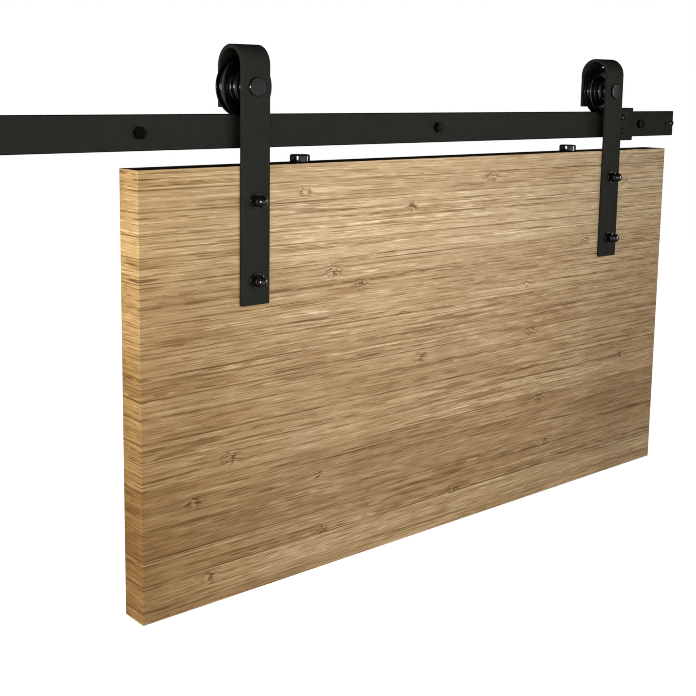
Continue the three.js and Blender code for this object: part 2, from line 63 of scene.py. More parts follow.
# ---------------------------------------------------------------- node helpers
class Nodes:
    """A small builder for one material's node tree."""

    def __init__(self, name):
        self.material = bpy.data.materials.new(name)
        self.material.use_nodes = True
        self.tree = self.material.node_tree
        self.shader = self.tree.nodes["Principled BSDF"]

    def add(self, kind, **settings):
        node = self.tree.nodes.new(kind)
        for key, value in settings.items():
            setattr(node, key, value)
        return node

    def plug(self, socket, value):
        if isinstance(value, bpy.types.NodeSocket):
            self.tree.links.new(value, socket)
        else:
            socket.default_value = value

    def place(self):
        """The point on the piece in the CAD frame, in millimetres."""
        coordinates = self.add("ShaderNodeTexCoord").outputs["Object"]
        return self.vector("MULTIPLY", coordinates, (1000, 1000, 1000))

    def math(self, operation, *values):
        node = self.add("ShaderNodeMath", operation=operation)
        for socket, value in zip(node.inputs, values):
            self.plug(socket, value)
        return node.outputs[0]

    def vector(self, operation, *values):
        node = self.add("ShaderNodeVectorMath", operation=operation)
        for socket, value in zip(node.inputs, values):
            self.plug(socket, value)
        return node.outputs["Value" if operation == "LENGTH" else "Vector"]

    def parts(self, vector):
        """The X, Y and Z of a vector."""
        node = self.add("ShaderNodeSeparateXYZ")
        self.plug(node.inputs[0], vector)
        return node.outputs

    def joined(self, **parts):
        """A vector from the parts that are given, with 0 for the others."""
        node = self.add("ShaderNodeCombineXYZ")
        for axis, value in parts.items():
            self.plug(node.inputs[axis], value)
        return node.outputs[0]

    def noise(self, point, size, detail=2.0, rough=0.5):
        """Noise whose features are `size` millimetres long along each axis."""
        scaled = self.vector("DIVIDE", point, size)
        node = self.add("ShaderNodeTexNoise")
        self.plug(node.inputs["Vector"], scaled)
        node.inputs["Scale"].default_value = 1
        node.inputs["Detail"].default_value = detail
        node.inputs["Roughness"].default_value = rough
        return node.outputs["Fac"]

    def fit(self, value, low, high, to_low=0.0, to_high=1.0, smooth=False):
        """The value's range from low to high, stretched to the range from to_low to to_high."""
        node = self.add("ShaderNodeMapRange")
        node.interpolation_type = "SMOOTHSTEP" if smooth else "LINEAR"
        for socket, number in zip(node.inputs, (value, low, high, to_low, to_high)):
            self.plug(socket, number)
        return node.outputs[0]

    def ramp(self, value, stops, interpolation="LINEAR"):
        node = self.add("ShaderNodeValToRGB")
        ramp = node.color_ramp
        ramp.interpolation = interpolation
        while len(ramp.elements) < len(stops):
            ramp.elements.new(1.0)
        for element, (position, colour) in zip(ramp.elements, stops):
            element.position = position
            element.color = (*colour, 1)
        self.plug(node.inputs[0], value)
        return node.outputs[0]

    def mix(self, factor, a, b, blend="MIX"):
        node = self.add("ShaderNodeMix", data_type="RGBA", blend_type=blend)
        self.plug(node.inputs["Factor"], factor)
        for socket, value in ((node.inputs[6], a), (node.inputs[7], b)):
            if isinstance(value, tuple):
                value = (*value, 1)
            self.plug(socket, value)
        return node.outputs[2]

    def bump(self, height, millimetres):
        node = self.add("ShaderNodeBump")
        node.inputs["Strength"].default_value = 1
        node.inputs["Distance"].default_value = millimetres * MM
        self.plug(node.inputs["Height"], height)
        self.plug(self.shader.inputs["Normal"], node.outputs[0])

    def surface(self, **values):
        """Plugs the values into the shader's inputs of those names, and gives the finished material."""
        for key, value in values.items():
            self.plug(self.shader.inputs[key.replace("_", " ")], value)
        return self.material


def grey(level):
    return (level, level, level)


# ---------------------------------------------------------------- finishes
def coated(name, dark, light, *, rough, peel_size, peel_depth, specular):
    """A black coating: a mottled tone, uneven gloss and a fine orange-peel surface."""
    n = Nodes(name)
    place = n.place()
    mottle = n.noise(place, (14, 14, 14), detail=3)
    speckle = n.noise(place, (0.5, 0.5, 0.5), detail=1)
    tone = n.math("ADD", n.math("MULTIPLY", mottle, 0.7), n.math("MULTIPLY", speckle, 0.3))
    colour = n.ramp(tone, ((0.3, dark), (0.7, light)))
    gloss = n.fit(mottle, 0.3, 0.7, rough - 0.05, rough + 0.05)
    peel = n.noise(place, grey(peel_size), detail=2)
    n.bump(peel, peel_depth)
    n.shader.inputs["Specular IOR Level"].default_value = specular
    return n.surface(Base_Color=colour, Roughness=gloss)


def plated(name, dark, light, *, rough, scratch):
    """Bare or plated steel with turned or rolled streaks along `scratch` (their size in mm)."""
    n = Nodes(name)
    place = n.place()
    stain = n.noise(place, (9, 9, 9), detail=3)
    streak = n.noise(place, scratch, detail=2)
    colour = n.ramp(stain, ((0.3, dark), (0.7, light)))
    gloss = n.fit(streak, 0.3, 0.7, rough - 0.08, rough + 0.1)
    n.bump(streak, 0.02)
    n.shader.inputs["Metallic"].default_value = 1
    return n.surface(Base_Color=colour, Roughness=gloss)


SATIN_BLACK = coated(
    "satin_black_steel",
    (0.0158, 0.0164, 0.0138),
    (0.0205, 0.0211, 0.0182),
    rough=0.55, peel_size=0.9, peel_depth=0.02, specular=0.01,
)
# Painted shade: the darker coat for the rounded edges on one side of a piece.
SATIN_EDGE_SHADE = coated(
    "satin_black_painted_edge_shade",
    (0.0030, 0.0031, 0.0026),
    (0.0048, 0.0049, 0.0042),
    rough=0.5, peel_size=0.9, peel_depth=0.02, specular=0.02,
)
OXIDE_BLACK = coated(
    "black_oxide_steel",
    (0.0020, 0.0020, 0.0018),
    (0.0030, 0.0030, 0.0027),
    rough=0.4, peel_size=1.2, peel_depth=0.01, specular=0.02,
)
GLOSS_BLACK = coated(
    "gloss_black_steel",
    (0.0016, 0.0018, 0.0017),
    (0.0028, 0.0030, 0.0029),
    rough=0.11, peel_size=1.6, peel_depth=0.005, specular=0.5,
)
WHEEL_BLACK = coated(
    "wheel_black",
    (0.0014, 0.0018, 0.0017),
    (0.0026, 0.0032, 0.0030),
    rough=0.12, peel_size=2.5, peel_depth=0.007, specular=0.5,
)
RUBBER = coated(
    "bumper_rubber",
    (0.008, 0.008, 0.008),
    (0.013, 0.013, 0.0125),
    rough=0.75, peel_size=0.4, peel_depth=0.03, specular=0.3,
)
ZINC = plated("zinc_steel", (0.36, 0.37, 0.39), (0.52, 0.53, 0.54), rough=0.34, scratch=(0.3, 3.0, 3.0))
BEARING = plated(
    "bearing_steel", (0.55, 0.56, 0.57), (0.66, 0.67, 0.68), rough=0.22, scratch=(3.0, 0.4, 3.0)
)


# The laminated strips of the panel: depth below the top edge (mm) at which each one ends, and its tone.
STRIPS = (
    (22, 0.60),
    (45, 0.57),
    (73, 0.65),
    (96, 0.67),
    (124, 0.62),
    (150, 0.53),
    (204, 0.49),
    (231, 0.44),
    (257, 0.37),
    (280, 0.45),
    (308, 0.38),
    (330, 0.43),
    (362, 0.47),
    (388, 0.30),
    (444, 0.31),
    (474, 0.36),
    (505, 0.50),
    (520, 0.46),
)
# How the wood darkens toward its ends: distance along the panel (share of its width), and shade.
SHADES = (
    (0.0, 0.73),
    (0.09, 0.79),
    (0.16, 0.88),
    (0.28, 0.95),
    (0.40, 1.0),
    (0.60, 1.0),
    (0.80, 0.96),
    (0.88, 0.82),
    (1.0, 0.92),
)
# Leaf-scar rings of the cane: distance from the panel's left edge, depth, and half-length (mm).
SCARS = (
    (228, 33, 17),
    (275, 135, 24),
    (322, 158, 19),
    (408, 62, 16),
    (560, 28, 20),
    (640, 190, 13),
    (775, 135, 17),
    (868, 50, 18),
    (430, 268, 20),
    (655, 262, 22),
    (680, 368, 18),
    (255, 395, 14),
    (262, 470, 14),
    (120, 345, 22),
    (70, 388, 20),
    (90, 486, 18),
    (700, 440, 16),
    (880, 330, 18),
    (500, 470, 18),
)
SCAR_SQUASH = 0.62  # a scar's height as a share of its length
SCAR_BEND = -2.8  # how far the grain gives way at a scar (mm)
GLUE_LINE = 1.3  # width of the glue line between two strips (mm)
# The wood's colour from its darkest to its palest tone.
WOOD_TONES = (
    (0.0, (0.200, 0.115, 0.046)),
    (0.28, (0.300, 0.190, 0.088)),
    (0.55, (0.430, 0.305, 0.165)),
    (0.80, (0.530, 0.405, 0.240)),
    (1.0, (0.620, 0.500, 0.320)),
)
# What each kind of mark multiplies the wood's colour by.
# The glint tint paints highlights: pale glints on lines that follow the fibres.
GLINT_TINT = (1.50, 1.66, 1.95)
STAIN_TINT = (0.62, 0.52, 0.38)
PORE_TINT = (0.48, 0.38, 0.22)
LINE_TINT = (0.42, 0.33, 0.20)
SCALE_TINT = (0.34, 0.25, 0.14)


class Cane(Nodes):
    """Edge-glued cane strips: each strip has its own tone and its own run of long, fine fibres."""

    def __init__(self):
        super().__init__("laminated_wood")
        low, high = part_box("door_panel")
        self.width = (high.x - low.x) / MM
        self.height = (high.z - low.z) / MM
        self.corner = self.vector("SUBTRACT", self.place(), (low.x / MM, low.y / MM, high.z / MM))
        self.across, _, rise = self.parts(self.corner)
        self.scar = self.scar_mask()
        ripple = self.wander((90, 300, 40), 1.6, detail=1)
        self.down = self.math("ADD", self.math("MULTIPLY", rise, -1.0), self.math("MULTIPLY", ripple, 0.35))
        self.marks = [grey(random.random()) for _ in STRIPS]
        self.fibre_place = self.bent_grain(ripple)
        self.clouds = self.noise(self.fibre_place, (150, 110, 60), detail=2)
        self.fibres = self.streaks((54, 38, 2.6))
        self.threads = self.streaks((26, 18, 1.5))

    def scar_mask(self):
        """1 at the heart of each leaf scar, falling to 0 around it."""
        mask = None
        for x, depth, reach in SCARS:
            away = self.vector("SUBTRACT", self.corner, (x, 0, -depth))
            away = self.vector("MULTIPLY", away, (1 / reach, 0, 1 / (reach * SCAR_SQUASH)))
            near = self.fit(self.vector("LENGTH", away), 1.0, 0.2, smooth=True)
            mask = near if mask is None else self.math("MAXIMUM", mask, near)
        return mask

    def wander(self, size, span, detail):
        """A slow rise and fall within `span` millimetres."""
        swing = self.noise(self.corner, size, detail=detail)
        return self.math("MULTIPLY", self.math("SUBTRACT", swing, 0.5), span)

    def by_strip(self, down, values):
        """The value of the strip that lies `down` millimetres below the top edge."""
        starts = [0.0] + [end / self.height for end, _ in STRIPS[:-1]]
        return self.ramp(self.math("DIVIDE", down, self.height), list(zip(starts, values)), "CONSTANT")

    def bent_grain(self, ripple):
        """Where the fibres are read: the grain wanders and bends around the leaf scars.

        Every strip reads its fibres from another place, so they break off at the glue lines.
        """
        lift = self.wander((330, 900, 120), 7.0, detail=2)
        bend = self.math("MULTIPLY", self.scar, SCAR_BEND)
        rise = self.math("ADD", self.math("ADD", lift, ripple), bend)
        warped = self.vector("ADD", self.corner, self.joined(Z=rise))
        identity = self.by_strip(self.down, self.marks)
        along = self.math("MULTIPLY", identity, 9000.0)
        inward = self.math("MULTIPLY", identity, 3000.0)
        return self.vector("ADD", warped, self.joined(X=along, Y=inward))

    def glue(self):
        """The glue lines between the strips, faded here and there."""
        here = self.by_strip(self.down, self.marks)
        below = self.by_strip(self.math("ADD", self.down, GLUE_LINE), self.marks)
        step = self.math("ABSOLUTE", self.math("SUBTRACT", here, below))
        seam = self.math("GREATER_THAN", step, 0.004)
        faded = self.fit(self.noise(self.corner, (120, 60, 60), detail=1), 0.35, 0.55, 0.35, 1.0)
        return self.math("MULTIPLY", seam, faded)

    def streaks(self, size):
        """Soft fibres along the grain, `size` millimetres long along each axis."""
        return self.fit(self.noise(self.fibre_place, size, detail=1), 0.36, 0.64, smooth=True)

    def broken(self, size, breaks, start, full):
        """Straight lines along the grain, of a stretched noise, broken up by a shorter one."""
        lines = self.fit(self.noise(self.fibre_place, size, detail=1), start, full, smooth=True)
        gaps = self.fit(self.noise(self.fibre_place, breaks, detail=1), 0.42, 0.56, smooth=True)
        return self.math("MULTIPLY", lines, gaps)

    def veins(self, size, width):
        """Thin lines that follow the grain, drawn where a stretched noise crosses its middle value."""
        level = self.noise(self.fibre_place, size, detail=1, rough=0.45)
        away = self.math("ABSOLUTE", self.math("SUBTRACT", level, 0.5))
        return self.fit(away, width, width * 0.3, smooth=True)

    def pores(self):
        busy = self.fit(self.noise(self.fibre_place, (230, 160, 16), detail=1), 0.36, 0.62, 0.25, 1.0)
        return self.math("MULTIPLY", self.broken((700, 500, 2.2), (55, 40, 5), 0.54, 0.63), busy)

    def stains(self):
        blots = self.noise(self.fibre_place, (200, 140, 6.0), detail=3, rough=0.6)
        return self.fit(blots, 0.66, 0.78, smooth=True)

    def scales(self):
        """The dark scales in a leaf scar."""
        flecks = self.noise(self.fibre_place, (8, 40, 2.0), detail=1)
        return self.math("MULTIPLY", self.fit(flecks, 0.48, 0.55, smooth=True), self.scar)

    def tone(self):
        """The wood's own tone: the strip's, with clouds, bands, fibres and the scars' pale patches."""
        bands = self.noise(self.fibre_place, (160, 115, 6.0), detail=3, rough=0.6)
        patches = self.fit(self.noise(self.corner, (11, 60, 4), detail=2), 0.42, 0.66)
        tone = self.by_strip(self.down, [grey(tone) for _, tone in STRIPS])
        for layer, start, full, reach in (
            (self.clouds, 0.3, 0.7, 0.10),
            (bands, 0.3, 0.7, 0.05),
            (self.streaks((90, 64, 4.6)), 0, 1, 0.025),
            (self.fibres, 0, 1, 0.045),
            (self.threads, 0, 1, 0.055),
        ):
            tone = self.math("ADD", tone, self.fit(layer, start, full, -reach, reach))
        pale = self.math("MULTIPLY", patches, self.scar)
        return self.math("ADD", tone, self.math("MULTIPLY", pale, 0.18))

    def with_painted_light(self, colour):
        """The colour with painted light: warm light at the left, light on the end face, darker ends and
        shade at the lower left.
        """
        # Painted warm light towards the left end.
        painted_warm_light = self.fit(self.across, 0, 220, 0.9, 0)
        colour = self.mix(painted_warm_light, colour, (1.0, 0.92, 0.73), "MULTIPLY")
        # Painted light on the end face, brighter over its upper part.
        end_face = self.fit(self.across, 0.4, 0.9, 1, 0)
        upper_end = self.fit(self.down, 235, 190, smooth=True)
        painted_end_light = self.mix(upper_end, (1.24, 1.18, 1.03), (1.50, 1.47, 1.39))
        colour = self.mix(end_face, colour, painted_end_light, "MULTIPLY")
        shades = [(at, (1.05 * shade, 1.02 * shade, shade)) for at, shade in SHADES]
        along = self.math("DIVIDE", self.across, self.width)
        colour = self.mix(1.0, colour, self.ramp(along, shades), "MULTIPLY")
        # Painted shade at the lower left.
        left = self.fit(self.across, 0, 260, 1, 0)
        low_down = self.fit(self.down, 330, 470)
        return self.mix(self.math("MULTIPLY", left, low_down), colour, (0.85, 0.80, 0.72), "MULTIPLY")


def laminated_wood():
    n = Cane()
    pores = n.pores()
    fine_pores = n.broken((500, 360, 1.4), (30, 22, 4), 0.53, 0.63)
    # Painted highlights: pale glint lines that follow the fibres.
    glint_lines = n.broken((600, 430, 2.2), (40, 28, 6), 0.45, 0.36)
    fine_glint_lines = n.broken((420, 300, 1.3), (24, 17, 4), 0.47, 0.38)
    long_veins = n.math("MULTIPLY", n.veins((900, 640, 12.0), 0.018), n.fit(n.clouds, 0.42, 0.58))
    scales = n.scales()
    glue = n.glue()

    colour = n.with_painted_light(n.ramp(n.tone(), WOOD_TONES))
    for mask, strength, tint in (
        (glint_lines, 0.46, GLINT_TINT),
        (fine_glint_lines, 0.52, GLINT_TINT),
        (n.stains(), 0.30, STAIN_TINT),
        (pores, 0.84, PORE_TINT),
        (fine_pores, 0.76, PORE_TINT),
        (long_veins, 0.70, LINE_TINT),
        (scales, 0.92, SCALE_TINT),
        (glue, 0.78, LINE_TINT),
    ):
        colour = n.mix(n.math("MULTIPLY", mask, strength), colour, tint, "MULTIPLY")

    height = n.math("ADD", n.math("MULTIPLY", n.fibres, 0.6), n.math("MULTIPLY", n.threads, 0.3))
    for groove, share in ((pores, 0.3), (fine_pores, 0.3), (long_veins, 0.5), (scales, 0.6), (glue, 0.8)):
        height = n.math("SUBTRACT", height, n.math("MULTIPLY", groove, share))
    n.bump(height, 0.12)
    n.shader.inputs["Specular IOR Level"].default_value = 0.2
    return n.surface(Base_Color=colour, Roughness=n.fit(n.fibres, 0.3, 0.7, 0.75, 0.6))


def shaded_top_edge():
    """The panel's top edge, painted near-black as shade, still showing the fibres."""
    n = Nodes("painted_shade_top_edge")
    place = n.place()
    fibres = n.noise(place, (60, 1.4, 8), detail=3)
    colour = n.ramp(fibres, ((0.3, (0.005, 0.0035, 0.0025)), (0.7, (0.014, 0.0095, 0.006))))
    n.bump(fibres, 0.1)
    n.shader.inputs["Specular IOR Level"].default_value = 0.05
    return n.surface(Base_Color=colour, Roughness=n.fit(fibres, 0.3, 0.7, 0.6, 0.75))


WOOD = laminated_wood()
# The panel's top face is painted dark as shade.
TOP_EDGE_SHADE = shaded_top_edge()


# ---------------------------------------------------------------- mesh helpers
def rounded(profile, steps=5):
    """A profile of (radius, y) or (radius, y, fillet) points, with each fillet drawn as an arc."""
    closed = profile[0][:2] == profile[-1][:2]
    points = profile[:-1] if closed else profile
    count = len(points)
    out = []
    for i, point in enumerate(points):
        here = Vector(point[:2])
        fillet = point[2] if len(point) > 2 else 0
        if not fillet:
            out.append(tuple(here))
            continue
        before = Vector(points[(i - 1) % count][:2]) - here
        after = Vector(points[(i + 1) % count][:2]) - here
        half = before.angle(after) / 2
        reach = min(fillet / math.tan(half), before.length * 0.49, after.length * 0.49)
        start = here + before.normalized() * reach
        end = here + after.normalized() * reach
        bisector = (before.normalized() + after.normalized()).normalized()
        centre = here + bisector * (reach / math.cos(half))
        a, b = start - centre, end - centre
        sweep = a.angle_signed(b)
        for k in range(steps + 1):
            turn = Matrix.Rotation(-sweep * k / steps, 2)
            out.append(tuple(centre + turn @ a))
    if closed:
        out.append(out[0])
    return out


def loft(rings, closed):
    """A mesh from rings of points; a ring of one point is a pole. Closed joins the last to the first."""
    mesh = bmesh.new()
    rows = [[mesh.verts.new(point) for point in ring] for ring in rings]
    if closed:
        rows.append(rows[0])
    for low, high in zip(rows, rows[1:]):
        size = max(len(low), len(high))
        for i in range(size):
            j = (i + 1) % size
            if len(low) == 1:
                corners = (low[0], high[j], high[i])
            elif len(high) == 1:
                corners = (low[i], low[j], high[0])
            else:
                corners = (low[i], low[j], high[j], high[i])
            mesh.faces.new(corners)
    bmesh.ops.recalc_face_normals(mesh, faces=mesh.faces)
    return mesh


def turned(profile, segments=72, steps=5):
    """A solid of revolution about Y, in metres, from a profile in millimetres."""
    line = rounded(profile, steps)
    closed = line[0] == line[-1]
    if closed:
        line = line[:-1]
    angles = [2 * math.pi * i / segments for i in range(segments)]
    rings = []
    for radius, y in line:
        if radius < 1e-6:
            rings.append([(0, y * MM, 0)])
            continue
        rings.append([(radius * MM * math.cos(a), y * MM, radius * MM * math.sin(a)) for a in angles])
    return loft(rings, closed)


def hexagonal(flats, stations, segments=96):
    """A solid about Y whose section is a hexagon with flats above and below.

    A station (radius, y) is a circle, or the closing point where its radius is 0. A radius of None is the
    full hexagon, ("inset", distance, y) is a smaller hexagon, and ("slope", radius, y, rate) follows a
    turned chamfer out to the flats.
    """
    apothem = flats / 2
    corner = flats / math.sqrt(3) - 0.12

    def hexagon(angle):
        beside = (angle + math.pi / 6) % (math.pi / 3) - math.pi / 6
        return min(apothem / math.cos(math.pi / 6 - abs(beside)), corner)

    def section(station, full):
        """The radius and the y of a station, where the full hexagon reaches out to `full`."""
        if station[0] == "slope":
            _, radius, y, rate = station
            return full, y + (full - radius) * rate
        if station[0] == "inset":
            _, distance, y = station
            return full - distance, y
        radius, y = station
        return (full if radius is None else radius), y

    angles = [2 * math.pi * i / segments for i in range(segments)]
    rings = []
    for station in stations:
        if station[0] == 0:
            rings.append([(0, station[1] * MM, 0)])
            continue
        ring = []
        for angle in angles:
            radius, y = section(station, hexagon(angle))
            ring.append((radius * MM * math.cos(angle), y * MM, radius * MM * math.sin(angle)))
        rings.append(ring)
    return loft(rings, False)


def carved(mesh, *tools):
    """The mesh with the tool meshes cut out of it."""
    objects = []
    for i, part in enumerate((mesh, *tools)):
        data = bpy.data.meshes.new(f"carve_{i}")
        part.to_mesh(data)
        part.free()
        objects.append(bpy.data.objects.new(f"carve_{i}", data))
        bpy.context.scene.collection.objects.link(objects[-1])
    body = objects[0]
    for tool in objects[1:]:
        cutter = body.modifiers.new("cut", "BOOLEAN")
        cutter.operation = "DIFFERENCE"
        cutter.solver = "EXACT"
        cutter.object = tool
    depsgraph = bpy.context.evaluated_depsgraph_get()
    result = bmesh.new()
    result.from_object(body, depsgraph)
    for thing in objects:
        data = thing.data
        bpy.data.objects.remove(thing)
        bpy.data.meshes.remove(data)
    return result


def softened(mesh, width, segments=3, sharper_than=40):
    """The mesh with its sharp edges rounded, in millimetres."""
    bmesh.ops.remove_doubles(mesh, verts=mesh.verts, dist=WELD)
    limit = math.radians(sharper_than)
    edges = [e for e in mesh.edges if len(e.link_faces) == 2 and e.calc_face_angle() > limit]
    bmesh.ops.bevel(
        mesh,
        geom=edges,
        offset=width * MM,
        segments=segments,
        profile=0.5,
        affect="EDGES",
        clamp_overlap=True,
    )
    return mesh


def shaded_edges(mesh, direction):
    """The mesh with its rounded edges on one side in the second material: a darker coat painted on as
    shade.
    """
    for face in mesh.faces:
        if EDGE_LEAN < face.normal.dot(direction) < 1 - EDGE_LEAN:
            face.material_index = 1
    return mesh


def slab(low, high):
    """A box in metres, from its lowest to its highest corner."""
    mesh = bmesh.new()
    bmesh.ops.create_cube(mesh, size=1)
    low, high = Vector(low), Vector(high)
    bmesh.ops.scale(mesh, vec=high - low, verts=mesh.verts)
    bmesh.ops.translate(mesh, vec=(low + high) / 2, verts=mesh.verts)
    return mesh


def extruded(outline, x0, x1):
    """A solid along X, in metres, from a closed outline of (y, z) points in metres."""
    mesh = bmesh.new()
    first = [mesh.verts.new((x0, y, z)) for y, z in outline]
    last = [mesh.verts.new((x1, y, z)) for y, z in outline]
    count = len(outline)
    mesh.faces.new(first)
    mesh.faces.new(last[::-1])
    for i in range(count):
        j = (i + 1) % count
        mesh.faces.new((first[j], first[i], last[i], last[j]))
    bmesh.ops.recalc_face_normals(mesh, faces=mesh.faces)
    return mesh


def moved(mesh, place):
    bmesh.ops.translate(mesh, vec=Vector(place), verts=mesh.verts)
    return mesh


def swung(mesh, angle, axis):
    """The mesh turned about an axis through the origin."""
    bmesh.ops.rotate(mesh, matrix=Matrix.Rotation(angle, 3, axis), verts=mesh.verts)
    return mesh


def drill(radius, centre, length, segments=48):
    """A cutter along Y through a point in metres; the radius and the length are in millimetres."""
    half = length / 2
    rod = turned([(0, -half), (radius, -half), (radius, half), (0, half)], segments)
    return moved(rod, centre)


def finished(mesh, node, body, slot, material, *more):
    """Makes the mesh the visible piece that stands for one CAD node."""
    data = bpy.data.meshes.new(f"{node}_look")
    mesh.to_mesh(data)
    mesh.free()
    for surface in (material, *more):
        data.materials.append(surface)
    for polygon in data.polygons:
        polygon.use_smooth = True
    data.set_sharp_from_angle(angle=SMOOTH_ANGLE)
    piece = bpy.data.objects.new(f"{node}_look", data)
    bpy.context.scene.collection.objects.link(piece)
    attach(piece, body)
    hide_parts(node)


def middle(node):
    low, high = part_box(node)
    return (low + high) / 2


def round_box(node):
    """Of a round piece along Y: the centre of its front end (m), its radius and its length (mm)."""
    low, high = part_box(node)
    front = Vector(((low.x + high.x) / 2, low.y, (low.z + high.z) / 2))
    return front, (high.x - low.x) / 2 / MM, (high.y - low.y) / MM


# ---------------------------------------------------------------- track
# Sizes are in millimetres from here on, and holes and bores are given by their radius.
FIXING_COUNT = 5
RAIL_ROUNDING = 1.5
RAIL_HOLE = 4.4
SPLICE_HOLE = 3.6
SPLICE_INSET = 22
END_SCREW_HOLE = 2.4
THROUGH_RAIL = 20  # length of the cutters for the rail's holes
STANDOFF_BORE = 4.4

LAG_FLATS = 13
LAG_HEAD = 5.5
LAG_SHANK = 4.0
LAG_ROOT = 3.0
LAG_PITCH = 3.2
LAG_POINT = 8

# Head height and shank radius of the small screws.
END_SCREW = (2.6, 2.0)
STOP_SCREW = (2.8, 2.6)

STOP_ROUNDING = 1.0
STOP_SLOT_GAP = 0.3
STOP_HOLE = 3.0
STOP_HOLE_DEPTH = 8
STOP_HOLE_BEYOND = 2  # how far the hole goes past its screw's end
BUMPER_ROUNDING = 0.9


def build_rail():
    low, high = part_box("rail")
    centre = (low + high) / 2
    places = [(middle(f"lag_screw_{i}").x, RAIL_HOLE) for i in range(1, FIXING_COUNT + 1)]
    places += [(low.x + SPLICE_INSET * MM, SPLICE_HOLE), (high.x - SPLICE_INSET * MM, SPLICE_HOLE)]
    places += [(middle(f"rail_end_screw_{side}").x, END_SCREW_HOLE) for side in SIDES]
    holes = [drill(radius, (x, centre.y, centre.z), THROUGH_RAIL) for x, radius in places]
    bar = carved(softened(slab(low, high), RAIL_ROUNDING, 4), *holes)
    # Painted shade on the rounded edges that lean to the front.
    finished(shaded_edges(bar, TO_FRONT), "rail", "track", "satin_black_steel", SATIN_BLACK, SATIN_EDGE_SHADE)


def build_fixings():
    for i in range(1, FIXING_COUNT + 1):
        node = f"standoff_{i}"
        front, radius, depth = round_box(node)
        profile = [
            (STANDOFF_BORE, 0),
            (radius, 0, 0.8),
            (radius, depth, 0.8),
            (STANDOFF_BORE, depth),
            (STANDOFF_BORE, 0),
        ]
        finished(moved(turned(profile), front), node, "track", "satin_black_steel", SATIN_BLACK)

        node = f"lag_screw_{i}"
        front, _, length = round_box(node)
        finished(moved(lag_screw(length), front), node, "track", "black_oxide_steel", OXIDE_BLACK)


def lag_screw(length):
    """A hexagon-headed wood screw that starts at y = 0 and points along +Y."""
    stations = [(0, 0), ("inset", 0.45, 0), ("inset", 0.12, 0.12), (None, 0.4), (None, LAG_HEAD)]
    stations += [(LAG_SHANK + 0.4, LAG_HEAD), (LAG_SHANK, LAG_HEAD + 0.5)]
    y = length * 0.45
    stations.append((LAG_SHANK, y))
    point = length - LAG_POINT
    while y < point - LAG_PITCH:
        crest = y + LAG_PITCH
        stations += [(LAG_ROOT, y + 0.6), (LAG_ROOT, crest - 1.3)]
        stations += [(LAG_SHANK, crest - 0.5), (LAG_SHANK, crest - 0.3)]
        y = crest
    stations += [(LAG_ROOT, y + 0.6), (LAG_ROOT, point), (0.6, length - 0.6), (0, length)]
    return hexagonal(LAG_FLATS, stations, 48)


def button_screw(head_radius, head_height, shank_radius, length):
    """A button head with a hexagon socket. Its seat is at y = 0 and it faces -Y."""
    body = turned(
        [
            (0, -head_height),
            (head_radius * 0.55, -head_height, 0.4),
            (head_radius * 0.87, -head_height * 0.65, head_radius * 0.9),
            (head_radius, -0.25, 0.2),
            (head_radius, 0),
            (shank_radius, 0),
            (shank_radius, length, 0.3),
            (0, length),
        ],
        64,
    )
    outside = -head_height - 1
    bottom = -head_height * 0.4
    socket = [(0, outside), (None, outside), (None, bottom), (0, bottom + 0.6)]
    return carved(body, hexagonal(head_radius * 0.9, socket, 48))


def build_small_screw(node, head_height, shank_radius):
    front, head_radius, length = round_box(node)
    screw = button_screw(head_radius, head_height, shank_radius, length - head_height)
    seat = front + Vector((0, head_height * MM, 0))
    finished(moved(screw, seat), node, "track", "gloss_black_steel", GLOSS_BLACK)


def build_small_screws():
    for side in SIDES:
        build_small_screw(f"rail_end_screw_{side}", *END_SCREW)
        for level in LEVELS:
            build_small_screw(f"stop_screw_{side}_{level}", *STOP_SCREW)


def sleeve(node):
    """A block along X, and the cutter of the rail's slot through it."""
    low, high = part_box(node)
    rail_low, rail_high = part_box("rail")
    past = Vector((0.01, 0, 0))
    gap = Vector((0, STOP_SLOT_GAP, STOP_SLOT_GAP)) * MM
    slot_low = Vector((low.x, rail_low.y, rail_low.z)) - past - gap
    slot_high = Vector((high.x, rail_high.y, rail_high.z)) + past + gap
    return slab(low, high), slab(slot_low, slot_high)


def build_stops():
    for side in SIDES:
        holes = []
        for level in LEVELS:
            front, _, length = round_box(f"stop_screw_{side}_{level}")
            depth = length + STOP_HOLE_BEYOND - STOP_HOLE_DEPTH / 2
            holes.append(drill(STOP_HOLE, front + Vector((0, depth * MM, 0)), STOP_HOLE_DEPTH))
        block = softened(carved(*sleeve(f"stop_block_{side}")), STOP_ROUNDING)
        # Painted shade on the rounded edges that lean to the front.
        block = shaded_edges(carved(block, *holes), TO_FRONT)
        finished(block, f"stop_block_{side}", "track", "satin_black_steel", SATIN_BLACK, SATIN_EDGE_SHADE)

        bumper = softened(carved(*sleeve(f"stop_bumper_{side}")), BUMPER_ROUNDING, 4)
        finished(bumper, f"stop_bumper_{side}", "track", "bumper_rubber", RUBBER)


# ---------------------------------------------------------------- hangers
STRAP_THICKNESS = 5
STRAP_ROUNDING = 1.1
STRAP_BOLT_HOLE = 4.4
BACK_LEG_BELOW_AXLE = 24.2
BEND_STEPS = 48
THROUGH_STRAP = 80  # length of the cutter through both legs
THROUGH_LEG = 12

AXLE_RADIUS = 6
AXLE_HOLE = 6.4
AXLE_BORE = 6.2  # of the nut, the spacers and the bearing's inner ring
AXLE_HEAD_HEIGHT = 3
AXLE_THREAD_LENGTH = 11
AXLE_THREAD_PITCH = 1.25
AXLE_THREAD_ROOT = 5.4

SPACER_FLANGE = 4.5
SPACER_NECK_RADIUS = 8.6
SPACER_SEAT_RADIUS = 7.6

CAP_NUT_FLATS = 14
CAP_NUT_HEX_HEIGHT = 7.5
CAP_NUT_DOME_STRAIGHT = 2.5
CAP_NUT_THREAD = 4.2

BOLT_RADIUS = 4
BOLT_HEAD_HEIGHT = 3.8
BOLT_SOCKET_FLATS = 6
BOLT_SOCKET_DEPTH = 2.4
WASHER_BORE = 4.4


